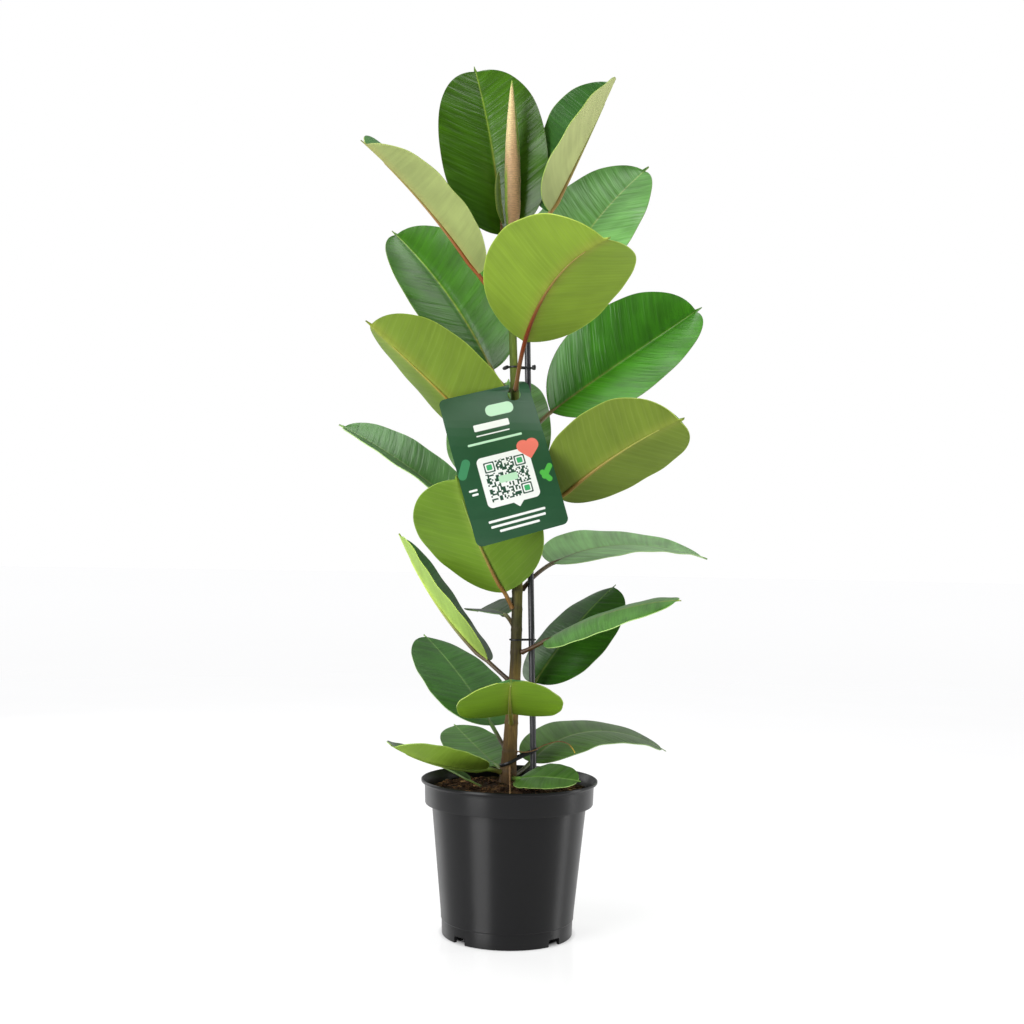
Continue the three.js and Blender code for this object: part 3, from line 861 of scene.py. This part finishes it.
# %% Turned pot
POT_SIDES = 160
POT_PROFILE = [
    # radius, height, mm
    (3, 0),
    (14, 0),
    (16, 4),
    (58.5, 4),
    (59.5, 0),
    (62.2, 0),
    (62.5, 0.6),
    (62.9, 14.4),
    (63.6, 15.3),
    (64.0, 22),
    (74.4, 123.5),
    (80.4, 123.7),
    (80.9, 124.6),
    (81.4, 140),
    (82.2, 142.4),
    (84.4, 144),
    (85, 144.8),
    (84.9, 146.4),
    (84.2, 147),
    (83.3, 146.6),
    (82.6, 145),
    (80.3, 142.6),
    (79.4, 139),
    (79.2, 125.6),
    (72.8, 125),
    (61.2, 8),
    (59.2, 6),
    (3, 6),
]


def turned(name, profile, sides):
    clear_selection()
    radius, height = profile[0]
    bpy.ops.mesh.primitive_circle_add(
        vertices=sides, radius=radius * MM, location=(0, 0, height * MM), fill_type="NOTHING"
    )
    bpy.ops.object.transform_apply(location=True)
    piece = bpy.context.object
    piece.name = piece.data.name = name
    bpy.ops.object.mode_set(mode="EDIT")
    for next_radius, next_height in profile[1:]:
        lift = (0, 0, (next_height - height) * MM)
        bpy.ops.mesh.extrude_region_move(TRANSFORM_OT_translate={"value": lift})
        scale = next_radius / radius
        bpy.ops.transform.resize(value=(scale, scale, 1))
        radius, height = next_radius, next_height
    bpy.ops.mesh.select_all(action="SELECT")
    bpy.ops.mesh.fill_holes(sides=0)
    bpy.ops.mesh.normals_make_consistent(inside=False)
    bpy.ops.object.mode_set(mode="OBJECT")
    return piece


pot = turned("grower_pot", POT_PROFILE, POT_SIDES)
SLOTS = 4
SLOT_SIZE = (9.6, 14, 13)  # through the wall, along it, and up, half of it below the foot, mm
SLOT_CORNER = 1.6  # mm
WALL_RADIUS = 61.2  # of the foot, at the middle of its wall, mm
for k in range(SLOTS):
    clear_selection()
    bpy.ops.mesh.primitive_cube_add(size=1)
    cutter = bpy.context.object
    turn = Matrix.Rotation(2 * math.pi * (k + 0.5) / SLOTS, 4, "Z")
    size = Matrix.Diagonal([side * MM for side in SLOT_SIZE] + [1])
    cutter.data.transform(turn @ Matrix.Translation((WALL_RADIUS * MM, 0, 0)) @ size)
    apply_modifier(cutter, "BEVEL", width=SLOT_CORNER * MM, segments=3)
    apply_modifier(pot, "BOOLEAN", object=cutter, operation="DIFFERENCE", solver="EXACT")
    bpy.data.objects.remove(cutter)
smooth(pot, 32)

# Moulded black polypropylene. The mould was turned on a lathe, and its fine rings draw every highlight
# on the wall out into an upright stripe, which the anisotropic lobe round the pot's axis gives.
polypropylene, tree, shader = new_material(
    "moulded_black_polypropylene",
    {
        "Base Color": linear("#0b0b0d"),
        "IOR": 1.49,
        "Specular IOR Level": 0.32,
        "Anisotropic": 0.85,
        "Anisotropic Rotation": 0.25,
    },
)
place = add(tree, "TexCoord").outputs["Object"]
rings = noise_at(tree, place, (9, 9, 420), 2.0)
dust = noise_at(tree, place, (35, 35, 22), 5.0)
blacks = {"stops": [(0.35, linear("#09090b")), (0.75, linear("#101012"))]}
tone = add(tree, "ValToRGB", blacks, {0: dust.outputs["Fac"]})
gloss = add(tree, "MapRange", {1: 0.3, 2: 0.7, 3: 0.36, 4: 0.42}, {0: dust.outputs["Fac"]})
bump = add(tree, "Bump", {"Strength": 0.5, "Distance": 0.05 * MM}, {"Height": rings.outputs["Fac"]})
around = add(tree, "Tangent", {"direction_type": "RADIAL", "axis": "Z"})
plug(tree, shader, {"Base Color": tone, "Roughness": gloss, "Tangent": around, "Normal": bump})
pot.data.materials.append(polypropylene)
finished(pot, "pot", "nursery_pot")

# %% [markdown]
# ## The soil
# Potting soil is dark peat with crumbs, bark chips and pale root hairs. The body is turned like the pot and
# its top is roughened by noise. The crumbs are two small stones with few faces, copied and turned at random.

# %% Soil body
SOIL_PROFILE = [(2, 6.6), (58.6, 6.6), (60.4, 9), (72.2, 124), (72.2, 126.4), (78.4, 126.4), (78.4, 136)]
SOIL_RINGS = 26
SOIL_SIDES = 96
soil_edge, soil_level, soil_crown = 78.4, 136, 143.6


def soil_height(x, y):
    """Height of the soil at a place, in mm: a low mound at the stem, with lumps."""
    reach = min(math.hypot(x, y) / soil_edge, 1)
    mound = soil_level + (soil_crown - soil_level) * (1 - ease(reach, 0.02, 0.75))
    lumps = 1.7 * noise.noise(Vector((x, y, 3)) * 0.085) + 0.8 * noise.noise(Vector((x, y, 8)) * 0.3)
    return mound + lumps * ease(-reach, -1.0, -0.9)


soil_profile = SOIL_PROFILE + [
    (soil_edge * (1 - k / SOIL_RINGS) + 1.5 * k / SOIL_RINGS, soil_level) for k in range(1, SOIL_RINGS + 1)
]
soil = turned("peat_soil", soil_profile, SOIL_SIDES)
for vertex in soil.data.vertices:
    if vertex.co.z > 0.9999 * soil_level * MM:
        vertex.co.z = soil_height(vertex.co.x / MM, vertex.co.y / MM) * MM
smooth(soil, 50)


def crumb(name, seed, flat):
    clear_selection()
    bpy.ops.mesh.primitive_ico_sphere_add(subdivisions=2, radius=1)
    piece = bpy.context.object
    piece.name = piece.data.name = name
    for vertex in piece.data.vertices:
        vertex.co *= 1 + 0.35 * noise.noise(vertex.co * 1.7 + Vector((seed, 0, 0)))
        vertex.co.z *= flat
    return piece


def scatter(source, count, smallest, largest, lengthen, name):
    """Copies of a crumb on the soil, each with its own mesh, joined into one piece."""
    copies = []
    while len(copies) < count:
        radius = soil_edge * 0.97 * math.sqrt(random.random())
        angle = 2 * math.pi * random.random()
        x, y = radius * math.cos(angle), radius * math.sin(angle)
        size = smallest + (largest - smallest) * random.random() ** 2
        on_stem = math.hypot(x + 1.5, y) < 10 + size
        on_wall = radius > soil_edge - size * lengthen - 0.5
        if on_stem or on_wall:
            continue
        copy = source.copy()
        copy.data = source.data.copy()
        bpy.context.collection.objects.link(copy)
        turn = Matrix.Rotation(2 * math.pi * random.random(), 4, "Z")
        tip = Matrix.Rotation(0.5 * (random.random() - 0.5), 4, "X")
        stretch = Matrix.Diagonal((size * lengthen * MM, size * MM, size * MM, 1))
        spot = Matrix.Translation(Vector((x, y, soil_height(x, y) + 0.25 * size)) * MM)
        copy.data.transform(spot @ turn @ tip @ stretch)
        copies.append(copy)
    bpy.data.objects.remove(source)
    return join(name, copies)


crumbs = scatter(crumb("crumb", 2.0, 0.75), 520, 0.7, 3.0, 1.2, "soil_crumbs")
chips = scatter(crumb("chip", 5.0, 0.35), 130, 0.8, 2.2, 3.0, "bark_chips")

# Peat-based potting soil: dark, crumbly and quite without gloss.
peat_gloss = {"Roughness": 0.95, "IOR": 1.4, "Specular IOR Level": 0.2}
peat, tree, shader = new_material("peat_potting_soil", peat_gloss)
place = add(tree, "TexCoord").outputs["Object"]
grit = noise_at(tree, place, per_metre(2.5), 6.0, 0.7)
clods = noise_at(tree, place, per_metre(14), 2.0)
mixing = {"operation": "MULTIPLY_ADD", 1: 0.6}
mixed = add(tree, "Math", mixing, {0: clods.outputs["Fac"], 2: grit.outputs["Fac"]})
browns = {"stops": [(0.55, linear("#140e0a")), (0.8, linear("#3a281c")), (1.0, linear("#7a5a3c"))]}
tone = add(tree, "ValToRGB", browns, {0: mixed.outputs[0]})
bump = add(tree, "Bump", {"Strength": 1.0, "Distance": 1.0 * MM}, {"Height": grit.outputs["Fac"]})
plug(tree, shader, {"Base Color": tone, "Normal": bump})

# Composted bark and bits of root: brown to straw, dry.
chip_gloss = {"Roughness": 0.85, "IOR": 1.4, "Specular IOR Level": 0.3}
bark_bits, tree, shader = new_material("composted_bark", chip_gloss)
place = add(tree, "TexCoord").outputs["Object"]
patches = add(tree, "TexVoronoi", {"Scale": 1000 / 9}, {0: place})
split = add(tree, "SeparateColor", links={0: patches.outputs["Color"]})
straws = {"stops": [(0.0, linear("#2a1b12")), (0.6, linear("#6a4630")), (1.0, linear("#b08a58"))]}
tone = add(tree, "ValToRGB", straws, {0: split.outputs[0]})
fibre = noise_at(tree, place, per_metre(1.2), 3.0)
bump = add(tree, "Bump", {"Strength": 1.0, "Distance": 0.4 * MM}, {"Height": fibre.outputs["Fac"]})
plug(tree, shader, {"Base Color": tone, "Normal": bump})
soil.data.materials.append(peat)
crumbs.data.materials.append(peat)
chips.data.materials.append(bark_bits)
finished(soil, "soil", "potting_soil")
finished(crumbs, "soil")
finished(chips, "soil")

# %% [markdown]
# ## The stake and its ties
# The stake is a steel rod in a black plastic skin, about 6 mm thick. Three ties hold the stem to it: a plant
# clip with a knob at each end, a thin wire tie, and a flat strap that runs aslant at the foot.


# %% Stake, clip and ties
def scuffed_plastic(name, colour, scale, detail, gloss, strength, depth):
    """Black polyethylene: a roughness between two values, and a bump so many mm deep, follow its scuffs."""
    material, tree, shader = new_material(name, {"Base Color": linear(colour), "IOR": 1.5})
    place = add(tree, "TexCoord").outputs["Object"]
    scuffs = noise_at(tree, place, scale, detail)
    rough = add(tree, "MapRange", {1: 0.3, 2: 0.7, 3: gloss[0], 4: gloss[1]}, {0: scuffs.outputs["Fac"]})
    deep = {"Strength": strength, "Distance": depth * MM}
    bump = add(tree, "Bump", deep, {"Height": scuffs.outputs["Fac"]})
    plug(tree, shader, {"Roughness": rough, "Normal": bump})
    return material


# Polyethylene skin over a rod: smooth, a little waxy, scuffed along its length.
rod_finish = ((600, 600, 60), 4.0, (0.22, 0.42), 0.6, 0.06)
coated_rod = scuffed_plastic("polyethylene_coated_rod", "#2a2a2e", *rod_finish)
# Flexible polyethylene of ties and clips, with a soft gloss.
tie_finish = (per_metre(1.5), 3.0, (0.3, 0.5), 0.7, 0.08)
tie_plastic = scuffed_plastic("black_tie_polyethylene", "#17171a", *tie_finish)

STAKE_X, STAKE_Y = 23.4, 4  # where the rod leaves the soil, mm
STAKE_LEAN = -0.031
STAKE_R = 3  # mm
STAKE_POINT = 12  # length of the pointed end, mm
SOIL_LINE = 145


def stake_x(z):
    return STAKE_X + STAKE_LEAN * (z - SOIL_LINE)


stake_low, stake_high = (corner.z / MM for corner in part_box("support_stake"))
STAKE_RINGS = 180
STAKE_SIDES = 24
stake_heights = [stake_low + (stake_high - stake_low) * k / STAKE_RINGS for k in range(STAKE_RINGS + 1)]


def stake_radius(v):
    if v in (0, 1):
        return 0, 0
    z = stake_low + (stake_high - stake_low) * v
    point = min((z - stake_low) / STAKE_POINT, 1) ** 0.8
    crown = math.sqrt(max(1 - (max(z - stake_high + STAKE_R, 0) / STAKE_R) ** 2, 0.02))
    radius = STAKE_R * point * crown * MM
    return radius, radius


stake_route = [Vector((stake_x(z), STAKE_Y, z)) * MM for z in stake_heights]
stake = tube("coated_stake", stake_route, stake_radius, STAKE_SIDES, BACKWARD)
stake.data.materials.append(coated_rod)
finished(stake, "stake", "support_stake")


def loop_route(z, gap, tilt, steps):
    """A closed route round the stem and the stake at a height, leaning up toward the stake."""
    stem_x, stem_r = between(STEM, z)
    first, second = Vector((stem_x, 0)), Vector((stake_x(z), STAKE_Y))
    span = second - first
    near, far = stem_r + gap, STAKE_R + gap
    wrap = math.acos((near - far) / span.length)
    facing = math.atan2(span.y, span.x)
    around = []
    for k in range(steps + 1):
        angle = facing + wrap + (2 * math.pi - 2 * wrap) * k / steps
        around.append(first + near * Vector((math.cos(angle), math.sin(angle))))
    for k in range(steps + 1):
        angle = facing - wrap + 2 * wrap * k / steps
        around.append(second + far * Vector((math.cos(angle), math.sin(angle))))
    around.append(around[0])
    rise = math.tan(math.radians(tilt))
    return [Vector((p.x, p.y, z + rise * (p.x - stem_x))) * MM for p in around]


def band(name, z, gap, tilt, thick, tall):
    """A tie round stem and stake: half its thickness and half its height in mm."""
    route = loop_route(z, gap, tilt, 18)
    piece = tube(name, route, lambda v: (thick * MM, tall * MM), 12, Vector((0, 0, 1)))
    merge_close(piece, 0.2 * MM)
    smooth(piece, 50)
    return piece


for name, node, shape in [
    ("wire_tie", "tie_middle", (280.5, 1.0, 0, 0.55, 0.75)),
    ("foot_strap", "tie_lower", (163, 1.1, 24, 0.6, 1.5)),
]:
    tie = band(name, *shape)
    tie.data.materials.append(tie_plastic)
    finished(tie, "tie", node)


def knob(name, centre, size, tilt):
    """A clip end: a small block with rounded edges and a pinched waist."""
    clear_selection()
    bpy.ops.mesh.primitive_cube_add(size=2)
    piece = bpy.context.object
    piece.name = piece.data.name = name
    apply_modifier(piece, "SUBSURF", levels=2, render_levels=2)
    for vertex in piece.data.vertices:
        vertex.co *= 1 + 0.22 * noise.noise(vertex.co * 1.4 + Vector(centre)) + 0.25 * abs(vertex.co.x)
    lean = Matrix.Rotation(math.radians(tilt), 4, "Y")
    scaled = Matrix.Diagonal([side * MM for side in size] + [1])
    piece.data.transform(Matrix.Translation(Vector(centre) * MM) @ lean @ scaled)
    smooth(piece, 60)
    return piece


clip_z = 545.5
clip = join(
    "plant_clip_with_knobs",
    [
        band("clip_wire", clip_z, 0.9, 0, 0.5, 0.9),
        knob("left_knob", (-10.4, -0.6, clip_z - 0.6), (3.6, 2.0, 2.2), -28),
        knob("right_knob", (16.9, 1.6, clip_z + 0.4), (2.2, 2.3, 3.0), 0),
    ],
)
clip.data.materials.append(tie_plastic)
finished(clip, "tie", "plant_clip")

# %% [markdown]
# ## The care tag
# The tag is a thin printed polypropylene card with a keyhole slot pushed over the stem. Its shape is right in
# the CAD model, so a copy of that node is welded and rounded. Its face is left without words: the panels of
# a care card are there as plain shapes, worked out on the card's own plane in millimetres.

# %% Care tag
tag = bpy.data.objects.new("care_card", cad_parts["care_tag"].data.copy())
bpy.context.collection.objects.link(tag)
tag.data.materials.clear()
merge_close(tag)
smooth(tag, 35)
TAG_TURN = math.radians(16.4)
TAG_PLACE = Vector((-11.2, 0, 450)) * MM

printed_card, tree, shader = new_material("printed_polypropylene_card", {"Roughness": 0.45, "IOR": 1.49})
place = add(tree, "TexCoord")
moved = add(tree, "VectorMath", {"operation": "SUBTRACT", 1: TAG_PLACE}, {0: place.outputs["Object"]})
upright = {"Rotation": (0, TAG_TURN, 0), "Scale": (1000, 1000, 1000)}
card = add(tree, "Mapping", upright, {0: moved.outputs[0]})
INK_EDGE = 0.12  # mm over which the edge of the ink fades


def panel(centre, half, corner, turn=0):
    """1 inside a rounded rectangle on the card, 0 outside, by its distance field in mm."""
    settings = {"vector_type": "TEXTURE", "Location": (centre[0], 0, centre[1]), "Rotation": (0, turn, 0)}
    shifted = add(tree, "Mapping", settings, {0: card.outputs[0]})
    folded = add(tree, "VectorMath", {"operation": "ABSOLUTE"}, {0: shifted.outputs[0]})
    core = (half[0] - corner, 1000, half[1] - corner)
    beyond = add(tree, "VectorMath", {"operation": "SUBTRACT", 1: core}, {0: folded.outputs[0]})
    outside = add(tree, "VectorMath", {"operation": "MAXIMUM", 1: (0, 0, 0)}, {0: beyond.outputs[0]})
    away = add(tree, "VectorMath", {"operation": "LENGTH"}, {0: outside.outputs[0]})
    fade = {1: corner - INK_EDGE, 2: corner + INK_EDGE, 3: 1.0, 4: 0.0}
    return add(tree, "MapRange", fade, {0: away.outputs["Value"]})


def printed(surface, mask, colour):
    mixed = add(tree, "Mix", {"data_type": "RGBA", 7: linear(colour)}, {0: mask, 6: surface})
    return mixed.outputs[2]


mottle = add(tree, "TexNoise", {"Scale": 0.03, "Detail": 3.0}, {0: card.outputs[0]})
greens = {"stops": [(0.3, linear("#1e4c2d")), (0.7, linear("#235232"))]}
ground = add(tree, "ValToRGB", greens, {0: mottle.outputs["Fac"]})
surface = ground.outputs[0]
WHITE_INK, MINT_INK, CORAL_INK, DARK_INK = "#f4f6f2", "#bfe8c4", "#ee7a68", "#1f4a34"
EIGHTH_TURN = math.radians(45)
PANELS = [
    # centre across and up, half width and height, corner radius, mm, ink, turn
    ((10, 50.5), (13.5, 6), 5.4, MINT_INK, 0),
    ((-1.5, 36), (17, 3.4), 1.2, WHITE_INK, 0),
    ((-2, 28), (16, 0.6), 0.5, WHITE_INK, 0),
    ((-2, 21), (26, 1.1), 0.8, MINT_INK, 0),
    ((0.5, -17), (25, 24), 5, WHITE_INK, 0),
    ((4, -41), (3.4, 3.4), 0.6, WHITE_INK, EIGHTH_TURN),
    ((-34, -21), (4, 1), 0.8, WHITE_INK, 0),
    ((-33, -25), (3, 1), 0.8, WHITE_INK, 0),
    ((-1, -53), (27, 1.1), 0.8, WHITE_INK, 0),
    ((-1, -58), (26, 1.1), 0.8, WHITE_INK, 0),
    ((-1, -63), (19, 1.1), 0.8, WHITE_INK, 0),
    ((-37, 0), (4, 10), 4, "#3f8a5c", 0.5),
    ((37, -20), (2.6, 8), 2.6, "#52b848", 0.7),
    ((35, -24), (2.6, 7), 2.6, "#52b848", -0.6),
    ((26, 4), (6.2, 6.2), 0.8, CORAL_INK, EIGHTH_TURN),
    ((21.7, 8.4), (6.1, 6.1), 6, CORAL_INK, 0),
    ((30.3, 8.4), (6.1, 6.1), 6, CORAL_INK, 0),
]
for centre, half, corner, ink, turn in PANELS[:6]:
    surface = printed(surface, panel(centre, half, corner, turn).outputs[0], ink)

# A mosaic of random cells fills the white panel. It only looks like a code, and holds nothing.
CELL = 1.5  # mm
cells = add(tree, "VectorMath", {"operation": "SNAP", 1: (CELL, 1000, CELL)}, {0: card.outputs[0]})
dice = add(tree, "TexWhiteNoise", {"noise_dimensions": "3D"}, {0: cells.outputs[0]})
dark = add(tree, "Math", {"operation": "GREATER_THAN", 1: 0.5}, {0: dice.outputs["Value"]})
inside = panel((0.5, -17), (20, 19), 0.5)
both = add(tree, "Math", {"operation": "MULTIPLY"}, {0: dark.outputs[0], 1: inside.outputs[0]})
surface = printed(surface, both.outputs[0], DARK_INK)
for corner_place in ((-14, -3.5), (15, -3.5), (15, -30.5)):
    for half, ink in ((6, WHITE_INK), (5, DARK_INK), (3.8, WHITE_INK), (2.6, "#3fae6a")):
        surface = printed(surface, panel(corner_place, (half, half), 1).outputs[0], ink)
surface = printed(surface, panel((0.5, -17), (9, 3.4), 1.5).outputs[0], MINT_INK)
for centre, half, corner, ink, turn in PANELS[6:]:
    surface = printed(surface, panel(centre, half, corner, turn).outputs[0], ink)
facing = add(tree, "SeparateXYZ", links={0: place.outputs["Normal"]})
front = add(tree, "Math", {"operation": "LESS_THAN", 1: 0.0}, {0: facing.outputs["Y"]})
sides = {0: front.outputs[0], 6: ground.outputs[0], 7: surface}
card_colour = add(tree, "Mix", {"data_type": "RGBA"}, sides)
tree.links.new(card_colour.outputs[2], shader.inputs["Base Color"])
tag.data.materials.append(printed_card)
finished(tag, "tag", "care_tag")

# %% [markdown]
# ## Roots in the open
# One dry strand leaves the stem and crosses to the low right leaf, and one root runs down the front of the
# stem and over the soil. Their routes are the ones that the CAD model uses.

# %% Roots
AERIAL_ROOT = [
    (5, -6.4, 174.3),
    (13, -8.4, 173.4),
    (23, -8, 175.2),
    (34, -9, 181),
    (46, -12, 184.6),
    (55, -14, 183.2),
    (60, -16, 178.4),
    (62, -17, 174.6),
]
SURFACE_ROOT = [
    (0.3, -9.4, 160),
    (0.3, -9.8, 154),
    (0.4, -12, 147.5),
    (0.6, -20, 144.6),
    (0.8, -35, 142.4),
    (0.8, -52, 140.7),
    (0.7, -68, 139.4),
]


def root(name, points, radius, near, far, node):
    route = smooth_path([Vector(p) * MM for p in points], 90)

    def radius_at(v):
        size = 0 if v in (0, 1) else radius * (1 - 0.35 * v) * MM
        return size, size

    def colour_at(u, v):
        return (*blend(linear(near), linear(far), ease(v, 0.7, 0.9))[:3], 1.0)

    def relief(u, v):
        return 0.3 * noise.noise(Vector((v * 30, math.cos(2 * math.pi * u), radius)))

    piece = tube(name, route, radius_at, 10, Vector((0, 0.3, 1)), {"bark_colour": colour_at}, relief)
    piece.data.materials.append(stem_bark)
    finished(piece, "root", node)


root("dry_aerial_root", AERIAL_ROOT, 0.65, "#7a5c3a", "#d8b440", "aerial_root")
root("surface_root_strand", SURFACE_ROOT, 0.95, "#8a6a48", "#9a7a54", "surface_root")

# %% [markdown]
# ## The floor
# A plain pale floor, wide enough to reach the horizon in any view. It is lit from beneath like the light
# table of a product studio, so it stays white and shadows on it are faint.

# %% Floor
clear_selection()
bpy.ops.mesh.primitive_circle_add(vertices=96, radius=30, fill_type="NGON", location=(0, 0, 0))
floor = bpy.context.object
floor.name = floor.data.name = "floor"
# Opal acrylic of a light table: glossy, and lit from beneath.
light_table, tree, shader = new_material(
    "opal_acrylic_light_table",
    {"Roughness": 0.14, "IOR": 1.49, "Emission Color": linear("#ffffff")},
)
place = add(tree, "TexCoord").outputs["Object"]
# A dark mask lies under the pot, so that little light shines up through the drain slots. Its soft edge runs a
# few millimetres past the pot's foot, where the dimmer glow is a painted contact shadow.
outward = add(tree, "VectorMath", {"operation": "LENGTH"}, {0: place})
mask = {1: 54 * MM, 2: 67 * MM, 3: 0.0, 4: 0.72}
glow_with_painted_shadow = add(tree, "MapRange", mask, {0: outward.outputs["Value"]})
grain = add(tree, "TexNoise", {"Scale": 3.0, "Detail": 2.0}, {0: place})
greys = {"stops": [(0.3, linear("#aaaaab")), (0.7, linear("#b0b0b1"))]}
tone = add(tree, "ValToRGB", greys, {0: grain.outputs["Fac"]})
plug(tree, shader, {"Base Color": tone, "Emission Strength": glow_with_painted_shadow})
floor.data.materials.append(light_table)
